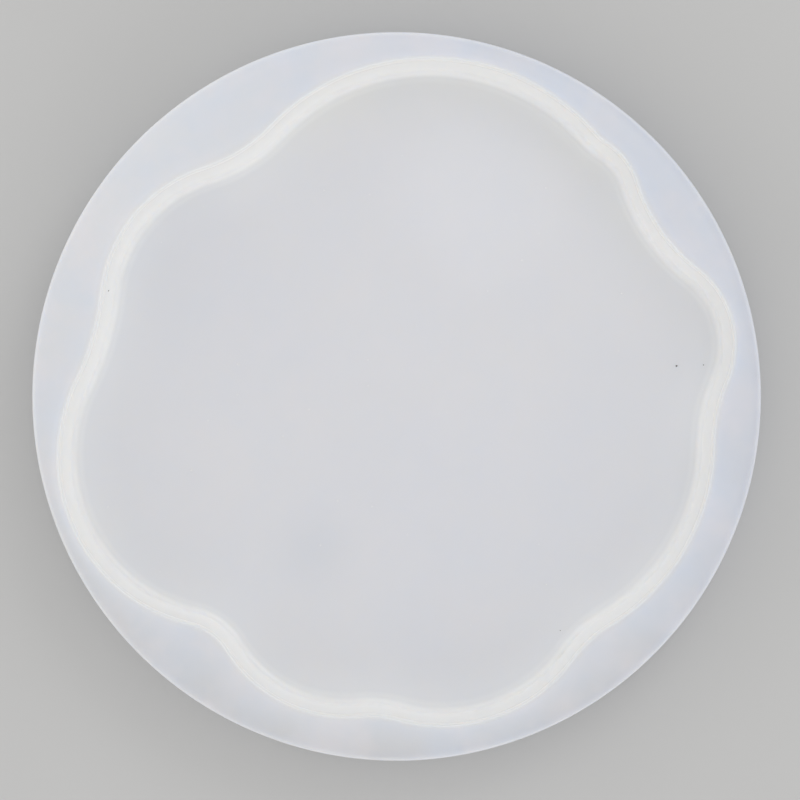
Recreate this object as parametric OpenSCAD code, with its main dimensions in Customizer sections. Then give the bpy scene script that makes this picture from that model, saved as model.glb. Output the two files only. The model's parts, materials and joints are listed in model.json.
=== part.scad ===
// Open-topped silicone casting mould for a flower-edged coaster.
// A round slab holds one shallow cavity. Eight broad lobes, joined by eight dips, make its outline.
// Origin: centre of the flat underside. +Z points out of the open cavity.

/* [Round body] */
// Outer diameter of the mould
mould_d = 120; // [119:0.5:130]
// Overall thickness, underside to top face
mould_h = 10; // [8:0.5:16]
// Radial width of the outer edge band
edge_w = 1.2; // [1:0.1:1.5]
// Radius that rounds the top of the outer edge
top_edge_r = 0.4; // [0.3:0.1:0.9]
// Radius that rounds the bottom of the outer edge
base_edge_r = 0.4; // [0.2:0.1:0.9]

/* [Cavity] */
// Thickness of silicone under the cavity
floor_t = 2.5; // [1.5:0.5:4]
// Draft of the cavity wall, in degrees from vertical
wall_draft = 15; // [5:1:20]
// Radius of the hollow where the wall meets the floor
foot_r = 1.5; // [0.5:0.1:2]
// Radius that softens the mouth of the cavity
mouth_r = 0.3; // [0.1:0.1:0.5]

/* [Hidden] */

// One row for each lobe of the mouth, anticlockwise from +X.
// Centre x, centre y, lobe radius, then the radius of the dip that follows it.
LOBES = [
    [40, 8.5, 16, 28.5],
    [28, 31.5, 12.5, 8],
    [5.5, 19.5, 36.5, 26.5],
    [-24.5, 14.5, 24.5, 44.5],
    [-27.5, -10, 28.5, 9.5],
    [-8.5, -30, 23, 19.5],
    [7.5, -27.5, 27, 21],
    [17, -7.5, 35.5, 26]
];

silicone = [0.83, 0.84, 0.87];
silicone_thin = [0.80, 0.81, 0.84];
silicone_bright = [0.90, 0.90, 0.90];

arc_step = 5;              // degrees between points along the outline's arcs
curve_steps = 5;           // straight steps in a rounding of a section
edge_steps = 8;            // straight steps in a rounding of the outer edge
turn = 90 - wall_draft;    // angle that the mouth and the foot each turn through
slope_h = mould_h - floor_t - (foot_r + mouth_r) * (1 - cos(turn));
wall_w = (foot_r + mouth_r) * sin(turn) + slope_h * tan(wall_draft);
land_r = mould_d / 2 - edge_w;

function next(i) = (i + 1) % len(LOBES);
function previous(i) = (i + len(LOBES) - 1) % len(LOBES);
function centre(i) = [LOBES[i][0], LOBES[i][1]];
function bearing(from, to) = atan2(to[1] - from[1], to[0] - from[0]);

// How far an arc turns anticlockwise, from one bearing to another, between 0 and 360
function sweep(first, last) = (last - first + 720) % 360;

// A dip's circle touches the lobes on both sides of it from outside, so its centre lies one lobe
// radius and one dip radius from each lobe's centre, on the far side from the middle of the mould.
function dip_centre(i) =
    let (
        a = centre(i),
        b = centre(next(i)),
        reach_a = LOBES[i][2] + LOBES[i][3],
        reach_b = LOBES[next(i)][2] + LOBES[i][3],
        span = norm(b - a),
        along = (reach_a * reach_a - reach_b * reach_b + span * span) / (2 * span),
        out = sqrt(reach_a * reach_a - along * along),
        way = (b - a) / span
    )
    a + along * way + out * [way[1], -way[0]];

// Points along one arc, from its first bearing up to but not including its last one.
// A negative turn goes clockwise, as a dip does.
function arc(at, r, first, angle) =
    let (steps = ceil(abs(angle) / arc_step))
    [for (k = [0:steps - 1]) at + r * [cos(first + angle * k / steps), sin(first + angle * k / steps)]];

// One lobe and the dip after it. A line drawn in from the mouth shrinks a lobe and widens a dip.
function lobe_and_dip(i, inset) =
    let (
        start = bearing(centre(i), dip_centre(previous(i))),
        end = bearing(centre(i), dip_centre(i)),
        dip_start = bearing(dip_centre(i), centre(i)),
        dip_end = bearing(dip_centre(i), centre(next(i)))
    )
    concat(
        arc(centre(i), LOBES[i][2] - inset, start, sweep(start, end)),
        arc(dip_centre(i), LOBES[i][3] + inset, dip_start, -sweep(dip_end, dip_start))
    );

// The whole outline, drawn in by inset from the mouth
function outline(inset) = [for (i = [0:len(LOBES) - 1]) each lobe_and_dip(i, inset)];

// Section of the wall as [distance in from the mouth, height]: along the underside, up the hollow
// at the foot, then up the drafted face and over the rounded mouth
function wall_section() = concat(
    [[0, 0], [wall_w, 0]],
    [for (k = [0:curve_steps]) let (t = turn * k / curve_steps)
        [wall_w - foot_r * sin(t), floor_t + foot_r * (1 - cos(t))]],
    [for (k = [curve_steps:-1:0]) let (t = turn * k / curve_steps)
        [mouth_r * sin(t), mould_h - mouth_r * (1 - cos(t))]]
);

// Thin web under the cavity, which carries the poured resin
module cavity_floor() {
    color(silicone_thin)
        linear_extrude(height = floor_t)
            polygon(outline(wall_w));
}

// Wavy ring that shapes the edge of the casting: the section carried round the outline
module cavity_wall() {
    section = wall_section();
    rings = [for (p = section) [for (q = outline(p[0])) [q[0], q[1], p[1]]]];
    around = len(rings[0]);
    sides = [for (j = [0:len(section) - 1], k = [0:around - 1])
        let (up = (j + 1) % len(section), on = (k + 1) % around)
        [j * around + k, up * around + k, up * around + on, j * around + on]];
    color(silicone_bright)
        polyhedron(points = [for (ring = rings) each ring], faces = sides);
}

// Flat-topped ring between the mouth of the cavity and the outer edge
module rim_land() {
    color(silicone)
        difference() {
            cylinder(r = land_r, h = mould_h, $fn = 180);
            translate([0, 0, -1])
                linear_extrude(height = mould_h + 2)
                    polygon(outline(0));
        }
}

// Outer edge band, rounded at the top and the bottom
module outer_edge() {
    outer_r = mould_d / 2;
    color(silicone)
        rotate_extrude($fn = 180)
            polygon(concat(
                [[land_r, 0]],
                [for (k = [0:edge_steps]) let (t = 90 * k / edge_steps)
                    [outer_r - base_edge_r * (1 - sin(t)), base_edge_r * (1 - cos(t))]],
                [for (k = [0:edge_steps]) let (t = 90 * k / edge_steps)
                    [outer_r - top_edge_r * (1 - cos(t)), mould_h - top_edge_r * (1 - sin(t))]],
                [[land_r, mould_h]]
            ));
}

cavity_floor();
cavity_wall();
rim_land();
outer_edge();
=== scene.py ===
# %% [markdown]
# # A silicone casting mould with a flower-edged cavity
# The object is a round slab of translucent white silicone, about as wide as a hand. One shallow
# cavity is sunk into it, and resin poured there cures into a coaster. This lesson loads the packed
# CAD model as a fixed frame, works out a smooth skin for the silicone with numpy, gives it a finish
# that light can wander through, and lights it like a plain studio table.

# %% Load the fixed frame
import json
import math

import bpy
import numpy as np
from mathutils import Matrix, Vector

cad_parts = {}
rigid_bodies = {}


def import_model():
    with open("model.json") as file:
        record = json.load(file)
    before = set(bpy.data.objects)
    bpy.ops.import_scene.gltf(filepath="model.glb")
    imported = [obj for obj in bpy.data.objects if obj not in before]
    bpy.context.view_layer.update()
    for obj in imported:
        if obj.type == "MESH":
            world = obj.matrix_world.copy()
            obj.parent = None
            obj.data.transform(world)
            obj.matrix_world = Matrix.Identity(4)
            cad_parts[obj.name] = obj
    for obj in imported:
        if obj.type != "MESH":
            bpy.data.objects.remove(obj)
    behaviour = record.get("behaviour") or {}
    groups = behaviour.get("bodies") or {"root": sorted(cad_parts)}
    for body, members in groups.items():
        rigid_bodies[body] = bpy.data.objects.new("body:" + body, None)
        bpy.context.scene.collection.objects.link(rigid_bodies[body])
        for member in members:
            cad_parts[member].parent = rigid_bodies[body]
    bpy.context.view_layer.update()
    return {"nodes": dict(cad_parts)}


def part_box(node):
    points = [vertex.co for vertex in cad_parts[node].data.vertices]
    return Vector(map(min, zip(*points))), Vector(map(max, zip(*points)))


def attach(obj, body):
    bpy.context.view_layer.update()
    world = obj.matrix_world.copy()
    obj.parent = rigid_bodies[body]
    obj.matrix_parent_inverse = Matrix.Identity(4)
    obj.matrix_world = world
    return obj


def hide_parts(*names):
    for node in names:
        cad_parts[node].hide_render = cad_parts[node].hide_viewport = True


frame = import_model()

print("CAD nodes:", sorted(frame["nodes"]))

# %% [markdown]
# ## Sizes
# Blender works in metres, and the CAD nodes already stand where they belong, so nearly every size is
# read off their boxes. The wall's plan width, for example, is what the cavity loses on one side
# between its mouth and its floor. Only the draft and the small roundings are repeated as named
# values, because a box doesn't show them.

# %% Sizes from the frame
MM = 0.001
floor_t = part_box("cavity_floor")[1].z
mould_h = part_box("rim_land")[1].z
outer_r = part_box("outer_edge")[1].x
wall_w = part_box("cavity_wall")[1].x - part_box("cavity_floor")[1].x

wall_draft = math.radians(15)
foot_r = 1.5 * MM
mouth_r = 0.3 * MM
top_edge_r = 0.4 * MM
base_edge_r = 0.4 * MM
turn = math.pi / 2 - wall_draft
slope_h = mould_h - floor_t - (foot_r + mouth_r) * (1 - math.cos(turn))

print(f"mould {2000 * outer_r:.1f} mm across, {1000 * mould_h:.1f} mm thick")
print(f"floor {1000 * floor_t:.1f} mm thick, wall {1000 * wall_w:.2f} mm wide in plan")

# %% [markdown]
# ## The mouth's outline
# The flower edge is a chain of arcs: eight broad lobes, each one joined to the next by a dip that
# touches both. Four numbers describe a lobe and its dip, the same ones as in the CAD model. The dip's
# centre follows from them, since it lies one lobe radius plus one dip radius from both lobe centres.
# Arcs are a good choice here because moving inwards is exact: a lobe's radius shrinks by the step and
# a dip's grows by it, so every level of the drafted wall is the same chain at another step.

# %% The lobes and the dips
# centre x, centre y, lobe radius, radius of the dip that follows it anticlockwise, all in mm
LOBES = np.array([
    (40, 8.5, 16, 28.5),
    (28, 31.5, 12.5, 8),
    (5.5, 19.5, 36.5, 26.5),
    (-24.5, 14.5, 24.5, 44.5),
    (-27.5, -10, 28.5, 9.5),
    (-8.5, -30, 23, 19.5),
    (7.5, -27.5, 27, 21),
    (17, -7.5, 35.5, 26),
]) * MM
print(len(LOBES), "lobes, of radius", LOBES[:, 2].min() / MM, "to", LOBES[:, 2].max() / MM, "mm")

# %% Points along the chain of arcs
AROUND = 800
FEWEST_STEPS = 4


def bearing(start, end):
    """The angle of the line from each start point to its end point."""
    return np.arctan2(*(end - start).T[::-1])


def alternate(lobe_values, dip_values):
    """Weaves two equal arrays into one: first lobe, first dip, second lobe, and so on."""
    woven = np.stack([lobe_values, dip_values], axis=1)
    return woven.reshape(-1, *lobe_values.shape[1:])


def dip_centres():
    """The centres of the dips, by circle-circle intersection: with reach_a and reach_b the two sums
    of radii and span the distance between lobe centres, a centre lies (reach_a^2 - reach_b^2 +
    span^2) / (2 span) along the line between them, and outwards by Pythagoras."""
    lobe, lobe_r, dip_r = LOBES[:, :2], LOBES[:, 2], LOBES[:, 3]
    after, after_r = np.roll(lobe, -1, axis=0), np.roll(lobe_r, -1)
    reach_a, reach_b = lobe_r + dip_r, after_r + dip_r
    span = np.hypot(*(after - lobe).T)
    way = (after - lobe) / span[:, None]
    along = (reach_a**2 - reach_b**2 + span**2) / (2 * span)
    out = np.sqrt(reach_a**2 - along**2)
    outwards = np.stack([way[:, 1], -way[:, 0]], axis=1)
    return lobe + along[:, None] * way + out[:, None] * outwards


def arc_chain(count):
    """Places about count points along the outline and returns, for each, its arc's centre, the arc's
    radius, +1 on a lobe or -1 on a dip, and the unit direction from the centre to the point.

    An arc starts at its bearing from the arc before it. Its share of the points goes by its length,
    radius times turn, and its points lie at equal angles."""
    lobe, dip = LOBES[:, :2], dip_centres()
    after = np.roll(lobe, -1, axis=0)
    lobe_start, lobe_end = bearing(lobe, np.roll(dip, 1, axis=0)), bearing(lobe, dip)
    dip_start, dip_end = bearing(dip, lobe), bearing(dip, after)
    lobe_turn = (lobe_end - lobe_start) % (2 * np.pi)
    dip_turn = -((dip_start - dip_end) % (2 * np.pi))

    centres = alternate(lobe, dip)
    radii = alternate(LOBES[:, 2], LOBES[:, 3])
    starts = alternate(lobe_start, dip_start)
    turns = alternate(lobe_turn, dip_turn)
    lengths = np.abs(turns) * radii
    shares = np.maximum(FEWEST_STEPS, np.round(count * lengths / lengths.sum())).astype(int)
    which = np.repeat(np.arange(len(shares)), shares)
    step = np.arange(shares.sum()) - np.repeat(np.cumsum(shares) - shares, shares)
    angle = starts[which] + turns[which] * (step / shares[which])
    direction = np.stack([np.cos(angle), np.sin(angle)], axis=1)
    return centres[which], radii[which], np.sign(turns[which]), direction


arc_centre, arc_radius, arc_sign, arc_way = arc_chain(AROUND)


def outline(inset):
    """The outline drawn in from the mouth by inset: centre + (radius -/+ inset) * direction."""
    return arc_centre + (arc_radius - arc_sign * inset)[:, None] * arc_way


mouth, foot = outline(0), outline(wall_w)
print(len(mouth), "points round the mouth")

# %% Compare with the CAD model
SAME_HEIGHT = 1e-6


def cad_points(node, height):
    """Plan positions of a CAD node's vertices at one height."""
    mesh = frame["nodes"][node].data
    flat = np.empty(3 * len(mesh.vertices))
    mesh.vertices.foreach_get("co", flat)
    points = flat.reshape(-1, 3)
    return points[np.abs(points[:, 2] - height) < SAME_HEIGHT][:, :2]


corners = cad_points("cavity_wall", mould_h)
gaps = np.hypot(*(corners[:, None, :] - mouth[None, :, :]).T).min(axis=0)
print(f"every CAD corner of the mouth has a point within {1000 * gaps.max():.2f} mm")

# %% [markdown]
# ## One skin for one casting
# The CAD model keeps four zones apart: floor, wall, rim and outer edge. The real mould is one casting,
# and light that enters the rim comes out of the wall. Four closed pieces would each scatter light on
# their own, which should show as dark seams, so one closed surface stands for all four of them.
# It is a grid of two parameters. One runs round the outline. The other runs from the middle of
# the cavity floor, up the wall, across the rim, over the edge and back to the middle underneath.

# %% Round rings and slow waves
compass = bearing(np.zeros(2), mouth)
spokes = np.stack([np.cos(compass), np.sin(compass)], axis=1)
FLOOR_WAVE, LAND_WAVE = 0.012 * MM, 0.020 * MM
# for each crossing wave: mm per radian along x, mm per radian along y, and a shift in radians
SWELLS = [(7.1, 11.3, 0.0), (-9.7, 6.2, 1.3), (4.3, 4.3, 0.4)]


def circle(radius):
    """A round ring whose points share the outline's compass bearings: radius * direction."""
    return radius * spokes


def waves(plan, depth):
    """Slow unevenness of a soft moulded face: depth times the mean of three crossing sine waves,
    19 to 38 mm long, so that a face isn't a perfect mirror."""
    x, y = plan[:, 0] / MM, plan[:, 1] / MM
    swell = sum(np.sin(x / along_x + y / along_y + shift) for along_x, along_y, shift in SWELLS)
    return depth * swell / len(SWELLS)


print(f"waves of {FLOOR_WAVE / MM:.3f} mm either way on the floor and {LAND_WAVE / MM:.3f} mm on the rim")

# %% Rings of the cavity
FLAT_ROWS, CURVE_ROWS, SLOPE_ROWS, LAND_ROWS, SIDE_ROWS = 26, 9, 14, 16, 6
CROWDING = 0.7   # below 1, the floor's rings crowd towards the foot of the wall
WAVE_FADE = 6    # the floor's waves die out towards the foot, by this power


class Skin:
    """Collects rings of points from the cavity's middle outwards, and how far each one has come:
    over the cavity floor, up the wall and across the rim, each counted from 0 to 1."""

    def __init__(self):
        self.rings, self.floor, self.wall, self.rim = [], [], [], []

    def ring(self, plan, height, floor=1.0, wall=0.0, rim=0.0):
        """Adds a ring at plan positions. height is one number, or one for each point."""
        self.rings.append(np.column_stack([plan, np.broadcast_to(height, len(plan))]))
        for values, value in ((self.floor, floor), (self.wall, wall), (self.rim, rim)):
            values.append(np.full(len(plan), value))

    def wall_ring(self, inset, height):
        """Adds a ring on the cavity wall, whose way up is counted in plan: 1 - inset / wall_w."""
        self.ring(outline(inset), height, wall=1 - inset / wall_w)


skin = Skin()
for part in np.linspace(0, 1, FLAT_ROWS)[1:-1] ** CROWDING:
    depth = FLOOR_WAVE * (1 - part**WAVE_FADE)
    skin.ring(foot * part, floor_t + waves(foot * part, depth), floor=part)

# the hollow at the foot, the straight slope, then the rounded mouth
bends = turn * np.linspace(0, 1, CURVE_ROWS)
slope_foot, slope_top = wall_w - foot_r * math.sin(turn), mouth_r * math.sin(turn)
slope_base = floor_t + foot_r * (1 - math.cos(turn))
for angle in bends:
    skin.wall_ring(wall_w - foot_r * math.sin(angle), floor_t + foot_r * (1 - math.cos(angle)))
for part in np.linspace(0, 1, SLOPE_ROWS)[1:-1]:
    skin.wall_ring(slope_foot + (slope_top - slope_foot) * part, slope_base + slope_h * part)
for angle in bends[::-1]:
    skin.wall_ring(mouth_r * math.sin(angle), mould_h - mouth_r * (1 - math.cos(angle)))

print("rings up to the mouth:", len(skin.rings))

# %% [markdown]
# ### From the mouth to the underside
# Past the mouth the rings have to turn from the flower outline into a circle. Each point slides along
# its own compass bearing, from the mouth to the edge of the rim, so rows never cross, and the narrow
# places of the rim stay as clean as the broad ones. The outer edge is then a plain profile on circles.

# %% Rings of the rim
land_edge = outer_r - top_edge_r
for part in np.linspace(0, 1, LAND_ROWS)[1:]:
    plan = mouth + (circle(land_edge) - mouth) * part
    # the waves die out at both ends of the rim and never rise above its true height
    fade = 4 * part * (1 - part)
    height = mould_h - LAND_WAVE + waves(plan, LAND_WAVE) * fade + LAND_WAVE * (1 - fade)
    skin.ring(plan, height, wall=1, rim=part)

upper_rings = len(skin.rings)
print("rings on the upper side:", upper_rings)

# %% Rings of the outer edge and the underside
quarter = np.linspace(0, math.pi / 2, CURVE_ROWS)
for angle in quarter[1:]:
    radius = land_edge + top_edge_r * math.sin(angle)
    skin.ring(circle(radius), mould_h - top_edge_r * (1 - math.cos(angle)), wall=1, rim=1)
for height in np.linspace(mould_h - top_edge_r, base_edge_r, SIDE_ROWS)[1:-1]:
    skin.ring(circle(outer_r), height, wall=1, rim=1)
for angle in quarter:
    radius = outer_r - base_edge_r * (1 - math.cos(angle))
    skin.ring(circle(radius), base_edge_r * (1 - math.sin(angle)), wall=1, rim=1)
for part in np.linspace(1, 0, FLAT_ROWS)[1:-1]:
    skin.ring(circle((outer_r - base_edge_r) * part), 0, wall=1, rim=1)

print("rings in all:", len(skin.rings), "with", len(mouth), "points each")

# %% [markdown]
# ## From arrays to a mesh
# The rings become quads by index arithmetic: point k of ring j joins point k + 1 of the same ring and
# the same two points of the next. Only the two middles are left open, and each is closed with a fan
# of triangles to one pole point. A signed volume tells whether the faces point outwards.

# %% Build a closed mesh from rings


def grid_quads(rows, columns):
    """Quads between rows of a grid that closes on itself: (j, k), (j+1, k), (j+1, k+1), (j, k+1)."""
    j, k = np.meshgrid(np.arange(rows - 1), np.arange(columns), indexing="ij")
    after = (k + 1) % columns
    quads = [j * columns + k, (j + 1) * columns + k, (j + 1) * columns + after, j * columns + after]
    return np.stack(quads, axis=-1).reshape(-1, 4)


def fan(pole, first, second):
    """Triangles from one pole point to the pairs (first, second)."""
    return np.stack([np.full_like(first, pole), first, second], axis=1)


def mesh_object(name, points, faces):
    """A smooth-shaded mesh object at the origin from an array of points and lists of faces."""
    mesh = bpy.data.meshes.new(name)
    mesh.from_pydata(points.tolist(), [], faces)
    mesh.validate()
    mesh.shade_smooth()
    made = bpy.data.objects.new(name, mesh)
    bpy.context.scene.collection.objects.link(made)
    return made


def signed_volume(points, faces):
    """Sum of the tetrahedra from the origin to each face's triangles: a . (b x c) / 6."""
    quads = np.array([face if len(face) == 4 else (*face, face[2]) for face in faces])
    a, b, c, d = (points[quads[:, n]] for n in range(4))
    tetra = np.einsum("ij,ij->i", a, np.cross(b, c)) + np.einsum("ij,ij->i", a, np.cross(c, d))
    return tetra.sum() / 6


rows, columns = len(skin.rings), len(mouth)
first = np.arange(columns)
second = (first + 1) % columns
last = (rows - 1) * columns
floor_pole, base_pole = rows * columns, rows * columns + 1
floor_fan = fan(floor_pole, first, second)
base_fan = fan(base_pole, last + second, last + first)

middle_height = floor_t + waves(np.zeros((1, 2)), FLOOR_WAVE)[0]
poles = np.array([[0, 0, middle_height], [0, 0, 0]])
skin_points = np.concatenate([*skin.rings, poles])
skin_faces = grid_quads(rows, columns).tolist() + floor_fan.tolist() + base_fan.tolist()

silicone_body = mesh_object("silicone_body", skin_points, skin_faces)
print(f"silicone_body: {len(skin_faces)} faces")
print(f"volume {signed_volume(skin_points, skin_faces) * 1e6:.1f} cm3, outward if positive")

# %% [markdown]
# ### Zone values on the skin
# The finish has to know where it is: the wall is creamier than the floor, and the rim cooler. Each
# point therefore carries three numbers between 0 and 1: how far out it lies on the cavity floor, how
# far up the wall, and how far across the rim. They follow the surface exactly, because they were
# written down with each ring. As mesh attributes, a shader can read them by name.

# %% Zone attributes
MIDDLES = [0, 1]   # the cavity's middle is where every way starts, and the underside's where it ends


def add_zone(mesh, name, rings):
    """Stores one number per vertex: the rings' values in order, then the two middles' values."""
    values = np.concatenate([*rings, MIDDLES]).astype(np.float32)
    layer = mesh.attributes.new(name, "FLOAT", "POINT")
    layer.data.foreach_set("value", values)
    print(f"{name}: mean {values.mean():.3f}")


add_zone(silicone_body.data, "floor_way", skin.floor)
add_zone(silicone_body.data, "wall_way", skin.wall)
add_zone(silicone_body.data, "rim_way", skin.rim)

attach(silicone_body, "root")
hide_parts("cavity_floor", "cavity_wall", "rim_land", "outer_edge")

# %% [markdown]
# ## Dust
# Silicone attracts dust. The grains are hardly visible from a distance, yet a surface without them
# looks drawn. A grain is a pebble: a sphere whose radius is bent by two waves, pressed flat and sunk
# halfway into the skin. They lie only inside the cavity, below the rim, so they don't make the mould
# any taller. All grains of one kind are a single mesh, made in one array operation from a list of
# places on the skin.

# %% The shape of a grain
PEBBLE_ROWS, PEBBLE_COLUMNS = 5, 8
PEBBLE_POINTS = PEBBLE_ROWS * PEBBLE_COLUMNS + 2
PEBBLE_BEND = 0.25
PEBBLE_BREADTH = 0.8


def pebble_grid(shape):
    """Unit pebble: radius 1 + bend * sin(2u + a) sin(2v + b) over a sphere of angles u and v."""
    v = np.linspace(0, np.pi, PEBBLE_ROWS + 2)[1:-1]
    u = np.arange(PEBBLE_COLUMNS) * 2 * np.pi / PEBBLE_COLUMNS
    v, u = np.meshgrid(v, u, indexing="ij")
    radius = 1 + PEBBLE_BEND * np.sin(2 * u + shape[0]) * np.sin(2 * v + shape[1])
    ball = np.stack([np.sin(v) * np.cos(u), np.sin(v) * np.sin(u), np.cos(v)], axis=-1)
    body = (radius[..., None] * ball).reshape(-1, 3)
    return np.concatenate([body, [[0, 0, 1]], [[0, 0, -1]]])


def pebble_faces():
    """Quads between a pebble's rows, and a fan of triangles at each pole."""
    top, bottom = PEBBLE_POINTS - 2, PEBBLE_POINTS - 1
    c = np.arange(PEBBLE_COLUMNS)
    n = (c + 1) % PEBBLE_COLUMNS
    last_row = (PEBBLE_ROWS - 1) * PEBBLE_COLUMNS
    quads = grid_quads(PEBBLE_ROWS, PEBBLE_COLUMNS)
    return quads, fan(top, c, n), fan(bottom, last_row + n, last_row + c)


print("points in a grain:", PEBBLE_POINTS)

# %% Grains on the skin
upper_side = np.concatenate(skin.rings[:upper_rings])
HEADROOM = 1.3   # a grain's centre stays this many times its half height below the rim's top face


def on_skin(plan):
    """For each plan position, the nearest point of the skin's upper side."""
    gap_x = upper_side[None, :, 0] - plan[:, None, 0]
    gap_y = upper_side[None, :, 1] - plan[:, None, 1]
    return upper_side[np.hypot(gap_x, gap_y).argmin(axis=1)]


def specks(name, plan, radii, flatness, seed):
    """One mesh of pebbles at plan positions: unit pebble * radius, squashed by flatness, at the skin."""
    chance = np.random.default_rng(seed)
    shapes = chance.uniform(0, 2 * np.pi, (len(plan), 2))
    seats = on_skin(plan)
    seats[:, 2] = np.minimum(seats[:, 2], mould_h - HEADROOM * flatness * radii)
    pebbles = np.stack([pebble_grid(shape) for shape in shapes])
    pebbles *= radii[:, None, None] * np.array([1.0, PEBBLE_BREADTH, flatness])
    points = (pebbles + seats[:, None, :]).reshape(-1, 3)
    starts = PEBBLE_POINTS * np.arange(len(plan))[:, None, None]
    faces = []
    for part in pebble_faces():
        faces += (part[None] + starts).reshape(-1, part.shape[1]).tolist()
    made = mesh_object(name, points, faces)
    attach(made, "root")
    print(f"{name}: {len(plan)} specks, {2000 * radii.min():.2f} to {2000 * radii.max():.2f} mm across")
    return made


dark_places = np.array([(46.4, 5.1), (51.3, 5.2), (-47.6, 17.4), (27.0, -39.0)]) * MM
dark_radii = np.array([0.16, 0.10, 0.13, 0.08]) * MM
dust_dark = specks("dust_dark", dark_places, dark_radii, 0.6, seed=4)

# points of the foot's outline, drawn in by the root of a random number, spread over the whole floor
PALE_COUNT = 46
pick = np.random.default_rng(11)
pale_places = pick.choice(foot, PALE_COUNT) * np.sqrt(pick.uniform(0, 1, (PALE_COUNT, 1)))
pale_radii = pick.uniform(0.05, 0.12, PALE_COUNT) * MM
dust_pale = specks("dust_pale", pale_places, pale_radii, 0.5, seed=5)

# %% [markdown]
# ## Shared shader groups
# Two effects are wanted by more than one material, so each is a node group with named sockets.
# "soft_mottle" gives the slow cloudiness of a milky material, and "moulded_grain" the very
# fine roughness that a face copies from the metal tool it was moulded against. Both read Object
# coordinates, so the pattern stays on the piece from every side.

# %% Node helpers


def new_group(name, inputs, outputs):
    """An empty shader group with float inputs {name: default} and float outputs, plus its two ends."""
    tree = bpy.data.node_groups.new(name, "ShaderNodeTree")
    for label, value in inputs.items():
        socket = tree.interface.new_socket(label, in_out="INPUT", socket_type="NodeSocketFloat")
        socket.default_value = value
    for label in outputs:
        tree.interface.new_socket(label, in_out="OUTPUT", socket_type="NodeSocketFloat")
    return tree, tree.nodes.new("NodeGroupInput"), tree.nodes.new("NodeGroupOutput")


def add(tree, kind, **settings):
    """A node of this kind with some of its own settings changed."""
    node = tree.nodes.new(kind)
    for key, value in settings.items():
        setattr(node, key, value)
    return node


def feed(tree, socket, value):
    """Gives a socket its value: a number or a colour is set, and another node's output is linked."""
    if isinstance(value, bpy.types.NodeSocket):
        tree.links.new(value, socket)
    else:
        socket.default_value = value


# %% Noise that stays on the piece
NOISE_SPAN = (0.3, 0.7)


def place(tree):
    """Object coordinates, which stay fixed to the piece."""
    return add(tree, "ShaderNodeTexCoord").outputs["Object"]


def noise(tree, scale, detail):
    """A noise texture on Object coordinates. scale is a socket or a number, in cells per metre."""
    cloud = add(tree, "ShaderNodeTexNoise")
    feed(tree, cloud.inputs["Vector"], place(tree))
    feed(tree, cloud.inputs["Scale"], scale)
    feed(tree, cloud.inputs["Detail"], detail)
    return cloud.outputs["Fac"]


def ramp(tree, value, low, high):
    """Maps a noise value from its usual span to the span from low to high."""
    node = add(tree, "ShaderNodeMapRange")
    labels = ("Value", "From Min", "From Max", "To Min", "To Max")
    for label, given in zip(labels, (value, *NOISE_SPAN, low, high)):
        feed(tree, node.inputs[label], given)
    return node.outputs["Result"]


# %% Soft mottle
MOTTLE_DETAIL = 2.0

soft_mottle, mottle_in, mottle_out = new_group(
    "soft_mottle", {"Scale": 40.0, "Low": 0.0, "High": 1.0}, ["Value"])
mottle = noise(soft_mottle, mottle_in.outputs["Scale"], MOTTLE_DETAIL)
mottle = ramp(soft_mottle, mottle, mottle_in.outputs["Low"], mottle_in.outputs["High"])
feed(soft_mottle, mottle_out.inputs["Value"], mottle)
print("soft_mottle:", len(soft_mottle.nodes), "nodes")

# %% Moulded grain
GRAIN_DETAIL = 3.0
WEAR_SCALE = 90.0

moulded_grain, grain_in, grain_out = new_group(
    "moulded_grain", {"Scale": 3000.0, "Rough Low": 0.2, "Rough High": 0.3}, ["Height", "Roughness"])
grain = noise(moulded_grain, grain_in.outputs["Scale"], GRAIN_DETAIL)
feed(moulded_grain, grain_out.inputs["Height"], grain)
wear = noise(moulded_grain, WEAR_SCALE, GRAIN_DETAIL)
wear = ramp(moulded_grain, wear, grain_in.outputs["Rough Low"], grain_in.outputs["Rough High"])
feed(moulded_grain, grain_out.inputs["Roughness"], wear)
print("moulded_grain:", len(moulded_grain.nodes), "nodes")

# %% [markdown]
# ## The silicone, zone by zone
# Milky silicone looks different wherever its thickness changes: a cool grey where it is thin, creamy
# and bright on the steep wall, cool again in the thick rim. Part of this is painted light and shade:
# the wall's brightness is partly a painted glow, and the rim and the floor carry painted light and
# shadow of the lamps. The base colour is therefore put together from masks. A mask is a number
# between 0 and 1 made from a zone attribute, or from where the point lies on the mould, and a mix
# node lays one colour over another by it. This is plainer to adjust than one big ramp, because each
# line is one thing that can be seen on the mould.

# %% Mask and colour helpers
COLOUR_A, COLOUR_B, COLOUR_OUT = 6, 7, 2   # a Mix node's colour sockets, after its other kinds


def new_material(name):
    """A node material, its tree and its Principled shader."""
    material = bpy.data.materials.new(name)
    material.use_nodes = True
    return material, material.node_tree, material.node_tree.nodes["Principled BSDF"]


def group(tree, source, **values):
    """Places a shader group in a material with its own input values."""
    node = add(tree, "ShaderNodeGroup", node_tree=source)
    for label, value in values.items():
        node.inputs[label.replace("_", " ")].default_value = value
    return node


def mix_colour(tree, factor, first, second):
    """Blends two colours, each a tuple or a socket, by a factor socket."""
    node = add(tree, "ShaderNodeMix", data_type="RGBA")
    feed(tree, node.inputs["Factor"], factor)
    for number, colour in ((COLOUR_A, first), (COLOUR_B, second)):
        feed(tree, node.inputs[number], (*colour, 1) if isinstance(colour, tuple) else colour)
    return node.outputs[COLOUR_OUT]


def maths(tree, operation, first, second):
    """A maths node on two values, each a number or a socket."""
    node = add(tree, "ShaderNodeMath", operation=operation)
    feed(tree, node.inputs[0], first)
    feed(tree, node.inputs[1], second)
    return node.outputs[0]


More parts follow.
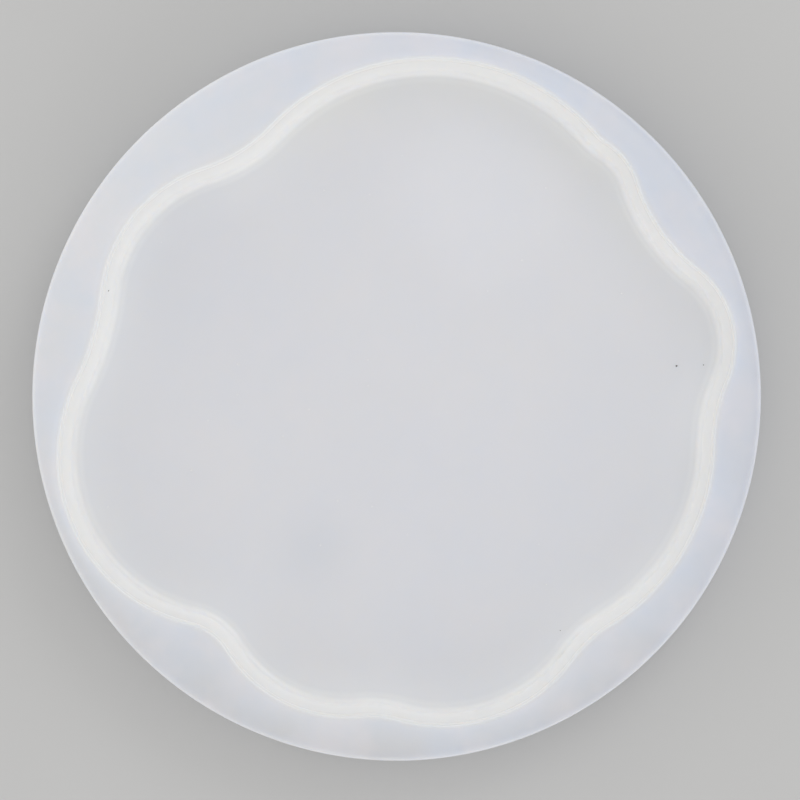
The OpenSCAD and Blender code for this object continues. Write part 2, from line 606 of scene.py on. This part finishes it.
def between(tree, value, span):
    """A soft mask: 0 below the span, 1 above it, and an s-curve from one to the other."""
    node = add(tree, "ShaderNodeMapRange", interpolation_type="SMOOTHSTEP")
    for label, given in zip(("Value", "From Min", "From Max"), (value, *span)):
        feed(tree, node.inputs[label], given)
    return node.outputs["Result"]


def way(tree, name):
    """The value of one of the skin's attributes."""
    return add(tree, "ShaderNodeAttribute", attribute_name=name).outputs["Fac"]


silicone, tree, shader = new_material("milky_silicone")
print("material:", silicone.name)

# %% Masks by place
RIGHT = 0


def towards(tree, azimuth):
    """How far a point lies towards an azimuth in degrees: position . direction / outer radius."""
    dot = add(tree, "ShaderNodeVectorMath", operation="DOT_PRODUCT")
    angle = math.radians(azimuth)
    feed(tree, dot.inputs[0], place(tree))
    feed(tree, dot.inputs[1], (math.cos(angle) / outer_r, math.sin(angle) / outer_r, 0))
    return dot.outputs["Value"]


def reach(tree):
    """Distance from the mould's axis over its outer radius: length of (x, y, 0) / outer radius."""
    flat = add(tree, "ShaderNodeVectorMath", operation="MULTIPLY")
    feed(tree, flat.inputs[0], place(tree))
    feed(tree, flat.inputs[1], (1 / outer_r, 1 / outer_r, 0))
    length = add(tree, "ShaderNodeVectorMath", operation="LENGTH")
    feed(tree, length.inputs[0], flat.outputs["Vector"])
    return length.outputs["Value"]


def patch(tree, x, y, radius):
    """A round soft mask on the cavity floor: 1 at (x, y) in mm and 0 from radius in mm outwards."""
    distance = add(tree, "ShaderNodeVectorMath", operation="DISTANCE")
    feed(tree, distance.inputs[0], place(tree))
    feed(tree, distance.inputs[1], (x * MM, y * MM, floor_t))
    return between(tree, maths(tree, "DIVIDE", distance.outputs["Value"], -radius * MM), (-1.0, 0.0))


right_side = between(tree, towards(tree, RIGHT), (-0.8, 0.8))
print("nodes so far:", len(tree.nodes))

# %% [markdown]
# ### The rim
# The thick rim is the coolest zone. Its colour is painted brightest at the far side and dimmest at
# the near side's outer edge, a painted light and shade of the lamps, with a painted blue cast of cool
# light at the far right. Low lamps shine into the outer edge and make the last two millimetres glow,
# most of all on the right, so a ring of painted shade there holds them back.

# %% Rim colour
# painted light and shade: the rim's colour is lighter towards the far side and darker at the near outer
# edge
RIM_PAINTED_SHADE_TONE, RIM_PAINTED_LIGHT_TONE = (0.708, 0.722, 0.750), (0.772, 0.783, 0.803)
EDGE_PAINTED_SHADE_TONE, EDGE_PAINTED_LIGHT_TONE = (0.650, 0.652, 0.662), (0.782, 0.790, 0.806)
# painted cool light: a blue cast on the rim's far right
COOL_LIGHT_TONE = (0.610, 0.655, 0.762)
# painted shade: a darker ring at the outer edge holds back the lamps' glow there
EDGE_RING_SHADE_TONE = (0.55, 0.57, 0.63)
PAINTED_LIGHT_AZIMUTH, PAINTED_LIGHT_SPAN = 98, (-0.9, 0.9)
COOL_LIGHT_AZIMUTH, COOL_LIGHT_SPAN, COOL_LIGHT_SHARE = 38, (-0.30, 0.9), 0.36
ACROSS_RIM = (0.1, 1.0)
EDGE_RING_SHADE_SPAN, EDGE_RING_SHADE_LEAST, EDGE_RING_SHADE_RIGHT = (0.968, 0.998), 0.14, 0.38

# painted light and shade: lighter towards the far side, darker towards the near side
painted_light_side = between(tree, towards(tree, PAINTED_LIGHT_AZIMUTH), PAINTED_LIGHT_SPAN)
inner_rim = mix_colour(tree, painted_light_side, RIM_PAINTED_SHADE_TONE, RIM_PAINTED_LIGHT_TONE)
outer_rim = mix_colour(tree, painted_light_side, EDGE_PAINTED_SHADE_TONE, EDGE_PAINTED_LIGHT_TONE)
rim_tone = mix_colour(tree, between(tree, way(tree, "rim_way"), ACROSS_RIM), inner_rim, outer_rim)
# painted cool light: the rim turns bluer towards the far right
cool_light_side = between(tree, towards(tree, COOL_LIGHT_AZIMUTH), COOL_LIGHT_SPAN)
rim_tone = mix_colour(tree, maths(tree, "MULTIPLY", cool_light_side, COOL_LIGHT_SHARE), rim_tone, COOL_LIGHT_TONE)

# painted shade: a darker ring at the outer edge, strongest on the right
edge_ring_shade_share = maths(tree, "MULTIPLY", right_side, EDGE_RING_SHADE_RIGHT)
edge_ring_shade_share = maths(tree, "ADD", edge_ring_shade_share, EDGE_RING_SHADE_LEAST)
corner = maths(tree, "MULTIPLY", between(tree, reach(tree), EDGE_RING_SHADE_SPAN), edge_ring_shade_share)
rim_tone = mix_colour(tree, corner, rim_tone, EDGE_RING_SHADE_TONE)
print("rim tones from", EDGE_PAINTED_SHADE_TONE, "to", EDGE_PAINTED_LIGHT_TONE)

# %% [markdown]
# ### The cavity
# The floor is a thin web, so it is greyer. Near the wall it lies in soft shade, and its colour is
# painted a little lighter there, a painted light which keeps that shade as faint as translucent
# silicone shows it. On the far side that painted light is weaker and warmer, a painted warm shadow
# of the far wall. Close to the foot it blends into the bright wall without a line. The wall's colour
# is painted lighter at its foot than towards its mouth, against the shade low in the cavity. One place
# in the floor is slightly thinner and lets more of the table through, so it looks cooler.

# %% Floor and wall colours
FLOOR_TONE = (0.748, 0.747, 0.767)
THIN_TONE = (0.635, 0.665, 0.715)
# painted light and shadow: the floor is lighter near the wall's foot, and on the far side less light and
# warmer, a painted warm shadow
FOOT_PAINTED_LIGHT_TONE, FAR_FOOT_PAINTED_SHADOW_TONE = (0.826, 0.831, 0.846), (0.812, 0.812, 0.800)
# painted light and shade: the wall is lighter at its foot than at its mouth, against the shade low in the
# cavity, and its whiteness is partly a painted glow
WALL_FOOT_PAINTED_LIGHT_TONE, WALL_TOP_PAINTED_SHADE_TONE = (0.958, 0.957, 0.947), (0.838, 0.837, 0.824)
FAR_SHADOW_AZIMUTH, FAR_SHADOW_SPAN = 75, (0.35, 0.80)
THIN_PLACE, THIN_SHARE = (-14, -25, 10), 0.30   # x, y and radius in mm
FOOT_POWER = 8
CLOSE_FOOT, CLOSE_FOOT_SHARE = (0.982, 1.0), 0.36
UP_WALL = (0.1, 1.0)

# painted warm shadow at the foot of the far wall
far_shadow_side = between(tree, towards(tree, FAR_SHADOW_AZIMUTH), FAR_SHADOW_SPAN)
foot_light_and_shadow_tone = mix_colour(tree, far_shadow_side, FOOT_PAINTED_LIGHT_TONE, FAR_FOOT_PAINTED_SHADOW_TONE)
# painted light on the floor near the wall's foot
near_foot = maths(tree, "POWER", way(tree, "floor_way"), FOOT_POWER)
floor_tone = mix_colour(tree, near_foot, FLOOR_TONE, foot_light_and_shadow_tone)
thin_spot = maths(tree, "MULTIPLY", patch(tree, *THIN_PLACE), THIN_SHARE)
floor_tone = mix_colour(tree, thin_spot, floor_tone, THIN_TONE)
close_foot = between(tree, way(tree, "floor_way"), CLOSE_FOOT)
close_foot = maths(tree, "MULTIPLY", close_foot, CLOSE_FOOT_SHARE)
floor_tone = mix_colour(tree, close_foot, floor_tone, WALL_FOOT_PAINTED_LIGHT_TONE)

# painted light at the wall's foot, fading to painted shade towards its mouth
up_wall = between(tree, way(tree, "wall_way"), UP_WALL)
wall_tone_and_painted_light = mix_colour(tree, up_wall, WALL_FOOT_PAINTED_LIGHT_TONE, WALL_TOP_PAINTED_SHADE_TONE)
print("floor", FLOOR_TONE, "wall", WALL_FOOT_PAINTED_LIGHT_TONE)

# %% [markdown]
# ### Clouds and the mouth
# A milky casting is never quite even. Three layers of soft mottle lie over the floor and the rim:
# one wide and pale, a smaller cool one and a still smaller warm one. The thick rim shows the small
# ones more than the thin floor does. The steep wall has none, since they would smear into streaks,
# and on the upright side they fade out. At the mouth, the small rounding catches every lamp at once,
# so a narrow lip of painted shade, slightly darker, keeps that highlight from showing as a line.

# %% Clouds over floor and rim
FOOT_BLEND, MOUTH_BLEND = (0.02, 0.28), (0.82, 0.98)
FLOOR_CLOUD, RIM_CLOUD = 0.25, 0.75
SIDE_SPAN, SIDE_CALM = (0.990, 1.0), 0.6
WIDE_CLOUD, WIDE_TONE = {"Scale": 24.0, "Low": 0.0, "High": 0.20}, (0.66, 0.69, 0.77)
SMALL_CLOUDS = [
    ({"Scale": 95.0, "Low": -0.06, "High": 0.20}, (0.66, 0.74, 0.86)),
    ({"Scale": 150.0, "Low": -0.10, "High": 0.20}, (0.86, 0.80, 0.80)),
]

on_wall = between(tree, way(tree, "wall_way"), FOOT_BLEND)
on_rim = between(tree, way(tree, "wall_way"), MOUTH_BLEND)
on_side = maths(tree, "MULTIPLY", between(tree, reach(tree), SIDE_SPAN), SIDE_CALM)
cloud_share = maths(tree, "ADD", maths(tree, "MULTIPLY", on_rim, RIM_CLOUD), FLOOR_CLOUD)
cloud_share = maths(tree, "MULTIPLY", cloud_share, maths(tree, "SUBTRACT", 1.0, on_side))

off_wall = mix_colour(tree, on_rim, floor_tone, rim_tone)
wide = group(tree, soft_mottle, **WIDE_CLOUD).outputs["Value"]
off_wall = mix_colour(tree, wide, off_wall, WIDE_TONE)
for settings, tone in SMALL_CLOUDS:
    cloud = group(tree, soft_mottle, **settings).outputs["Value"]
    off_wall = mix_colour(tree, maths(tree, "MULTIPLY", cloud, cloud_share), off_wall, tone)
body_tone = mix_colour(tree, maths(tree, "SUBTRACT", on_wall, on_rim), off_wall, wall_tone_and_painted_light)
print("cloud layers:", 1 + len(SMALL_CLOUDS))

# %% The lip at the mouth
# painted shade: a narrow darker band at the mouth's rounding, so its lamp highlight doesn't show as a
# line
LIP_PAINTED_SHADE_TONE = (0.66, 0.650, 0.615)
LIP_RISE, LIP_FALL, LIP_SHARE = (0.80, 0.96), (0.0, 0.12), 0.28

up_to_mouth = between(tree, way(tree, "wall_way"), LIP_RISE)
past_mouth = between(tree, way(tree, "rim_way"), LIP_FALL)
lip = maths(tree, "MULTIPLY", maths(tree, "SUBTRACT", up_to_mouth, past_mouth), LIP_SHARE)
feed(tree, shader.inputs["Base Color"], mix_colour(tree, lip, body_tone, LIP_PAINTED_SHADE_TONE))
print("nodes for the colour:", len(tree.nodes))

# %% [markdown]
# ### Gloss and scatter
# The cavity floor is the glossiest face, and the wall and the rim are satin. A very fine grain bends
# the reflections a little. Light also enters the silicone and comes out some way off, so its shadows
# are soft: the Principled shader's subsurface does that with a radius in metres, and red wanders a
# little further than blue. Scatter weight, scale, radius and IOR are the same all over, so they are
# set on the shader's own sockets.

# %% Roughness, bump and scatter
GRAIN = {"Scale": 2600.0, "Rough_Low": 0.065, "Rough_High": 0.10}
SATIN, LIP_SATIN = 0.22, 0.8
BUMP_STRENGTH, BUMP_DISTANCE = 0.10, 0.02 * MM
SCATTER_M, SCATTER_RGB = 0.0018, (1.0, 0.94, 0.86)
SILICONE_IOR = 1.41

fine = group(tree, moulded_grain, **GRAIN)
satin = maths(tree, "MULTIPLY", way(tree, "wall_way"), SATIN)
satin = maths(tree, "ADD", satin, maths(tree, "MULTIPLY", lip, LIP_SATIN))
feed(tree, shader.inputs["Roughness"], maths(tree, "ADD", fine.outputs["Roughness"], satin))

bump = add(tree, "ShaderNodeBump")
feed(tree, bump.inputs["Strength"], BUMP_STRENGTH)
feed(tree, bump.inputs["Distance"], BUMP_DISTANCE)
feed(tree, bump.inputs["Height"], fine.outputs["Height"])
feed(tree, shader.inputs["Normal"], bump.outputs["Normal"])

shader.inputs["Subsurface Weight"].default_value = 1.0
shader.inputs["Subsurface Scale"].default_value = SCATTER_M
shader.inputs["Subsurface Radius"].default_value = SCATTER_RGB
shader.inputs["IOR"].default_value = SILICONE_IOR
silicone_body.data.materials.append(silicone)
print("silicone nodes in all:", len(tree.nodes))

# %% [markdown]
# ## Dust materials and the table
# Dust is dry and matt. The dark grains are brown-grey, the pale ones nearly white. The
# table under the mould is a plain pale sheet, a little darker than the silicone so that the round
# outline reads. It is 12 m wide, so its far edge stays out of sight from low down.

# %% Dust and table
GRAIN_FINER = 6
DUST_SCALE, TABLE_SCALE = 4000.0, 12.0
TABLE_SIDE = 12.0


def matt_material(name, tones, scale, rough):
    """A dry matt finish: its colour wanders between two tones and its roughness between two values."""
    material, tree, shader = new_material(name)
    blotch = group(tree, soft_mottle, Scale=scale, Low=0.0, High=1.0).outputs["Value"]
    feed(tree, shader.inputs["Base Color"], mix_colour(tree, blotch, *tones))
    grain = group(tree, moulded_grain, Scale=scale * GRAIN_FINER, Rough_Low=rough[0], Rough_High=rough[1])
    feed(tree, shader.inputs["Roughness"], grain.outputs["Roughness"])
    return material


dust_dark.data.materials.append(
    matt_material("dark_dust", ((0.07, 0.06, 0.05), (0.16, 0.14, 0.12)), DUST_SCALE, (0.7, 0.9)))
dust_pale.data.materials.append(
    matt_material("pale_dust", ((0.86, 0.86, 0.85), (0.95, 0.95, 0.94)), DUST_SCALE, (0.6, 0.8)))

half_side = TABLE_SIDE / 2
table_points = np.array([(-half_side, -half_side, 0), (half_side, -half_side, 0),
                         (half_side, half_side, 0), (-half_side, half_side, 0)])
table = mesh_object("table", table_points, [(0, 1, 2, 3)])
table.data.materials.append(
    matt_material("pale_table", ((0.545, 0.542, 0.535), (0.565, 0.562, 0.555)), TABLE_SCALE, (0.7, 0.8)))
print("materials:", [material.name for material in bpy.data.materials if material.users])

# %% [markdown]
# ## Light
# A dome of even white does most of the work. Four long soft lamps stand low around
# the table: light that comes in low reaches the steep wall of the cavity but only grazes the floor,
# and this is what makes the wavy wall brighter than its surroundings. They are ovals, wide and
# dim, because a small bright lamp would draw a thin line along every rounding. A fifth soft lamp
# behind the mould leaves a faint shadow inside the far wall, and a small dim bulb high above leaves
# a soft reflection on the glossy cavity floor.

# %% World and view settings
DOME_STRENGTH = 0.74

world = bpy.data.worlds.new("studio")
bpy.context.scene.world = world
world.use_nodes = True
dome = world.node_tree.nodes["Background"]
dome.inputs["Color"].default_value = (1, 1, 1, 1)
dome.inputs["Strength"].default_value = DOME_STRENGTH
bpy.context.scene.view_settings.view_transform = "Standard"
print("dome strength:", DOME_STRENGTH)

# %% Lamps
WHITE, SKY = (1, 1, 1), (0.94, 0.97, 1.0)
# name, azimuth anticlockwise from +X and elevation in degrees, then distance, width and height in
# metres, watts and colour
LAMPS = [
    ("right_lamp", 0, 20, 0.9, 1.5, 0.5, 0.95, WHITE),
    ("far_lamp", 100, 20, 0.9, 1.5, 0.5, 0.9, WHITE),
    ("left_lamp", 185, 20, 0.9, 1.5, 0.5, 1.35, WHITE),
    ("near_lamp", 282, 20, 0.9, 1.5, 0.5, 1.85, WHITE),
    ("back_lamp", 52, 38, 0.9, 0.5, 0.5, 0.75, SKY),
    ("high_bulb", 82.5, 86.3, 1.2, 0.05, 0.05, 0.010, WHITE),
]


def soft_lamp(name, azimuth, elevation, distance, wide, tall, watts, colour):
    """An oval area lamp aimed at the mould's middle: distance times the direction of both angles."""
    lamp = bpy.data.lights.new(name, "AREA")
    lamp.shape = "ELLIPSE"
    lamp.size = wide
    lamp.size_y = tall
    lamp.energy = watts
    lamp.color = colour
    stand = bpy.data.objects.new(name, lamp)
    bpy.context.scene.collection.objects.link(stand)
    a, e = math.radians(azimuth), math.radians(elevation)
    direction = Vector((math.cos(e) * math.cos(a), math.cos(e) * math.sin(a), math.sin(e)))
    stand.location = distance * direction
    stand.rotation_euler = stand.location.to_track_quat("Z", "Y").to_euler()
    stand.visible_camera = False


for lamp_row in LAMPS:
    soft_lamp(*lamp_row)
print("lamps:", [lamp.name for lamp in bpy.data.lights])

# %% [markdown]
# ## Camera
# The mould is seen from above. A long lens from 1.2 m keeps the wall from leaning outwards. The
# camera stands a small step to the right and to the near side of the point that it aims at, so the
# left and far walls show a little more of their face. The whole rim fits the square view, and its
# middle lies a touch to the left of and above the centre.

# %% Camera over the mould
CAMERA_HEIGHT = 1.2
SENSOR_MM = 36
HALF_VIEW = 65.84 * MM
AIM_X, AIM_Y = 0.61 * MM, -0.61 * MM
STEP_RIGHT, STEP_NEAR = 17 * MM, 8 * MM

camera = bpy.data.cameras.new("camera")
camera.sensor_width = SENSOR_MM
camera.lens = SENSOR_MM / 2 * CAMERA_HEIGHT / HALF_VIEW
camera_stand = bpy.data.objects.new("camera", camera)
bpy.context.scene.collection.objects.link(camera_stand)
camera_stand.location = (AIM_X + STEP_RIGHT, AIM_Y - STEP_NEAR, mould_h + CAMERA_HEIGHT)
tilt_near, tilt_right = math.atan(STEP_NEAR / CAMERA_HEIGHT), math.atan(STEP_RIGHT / CAMERA_HEIGHT)
camera_stand.rotation_euler = (tilt_near, tilt_right, 0)
bpy.context.scene.camera = camera_stand
print(f"lens {camera.lens:.1f} mm")
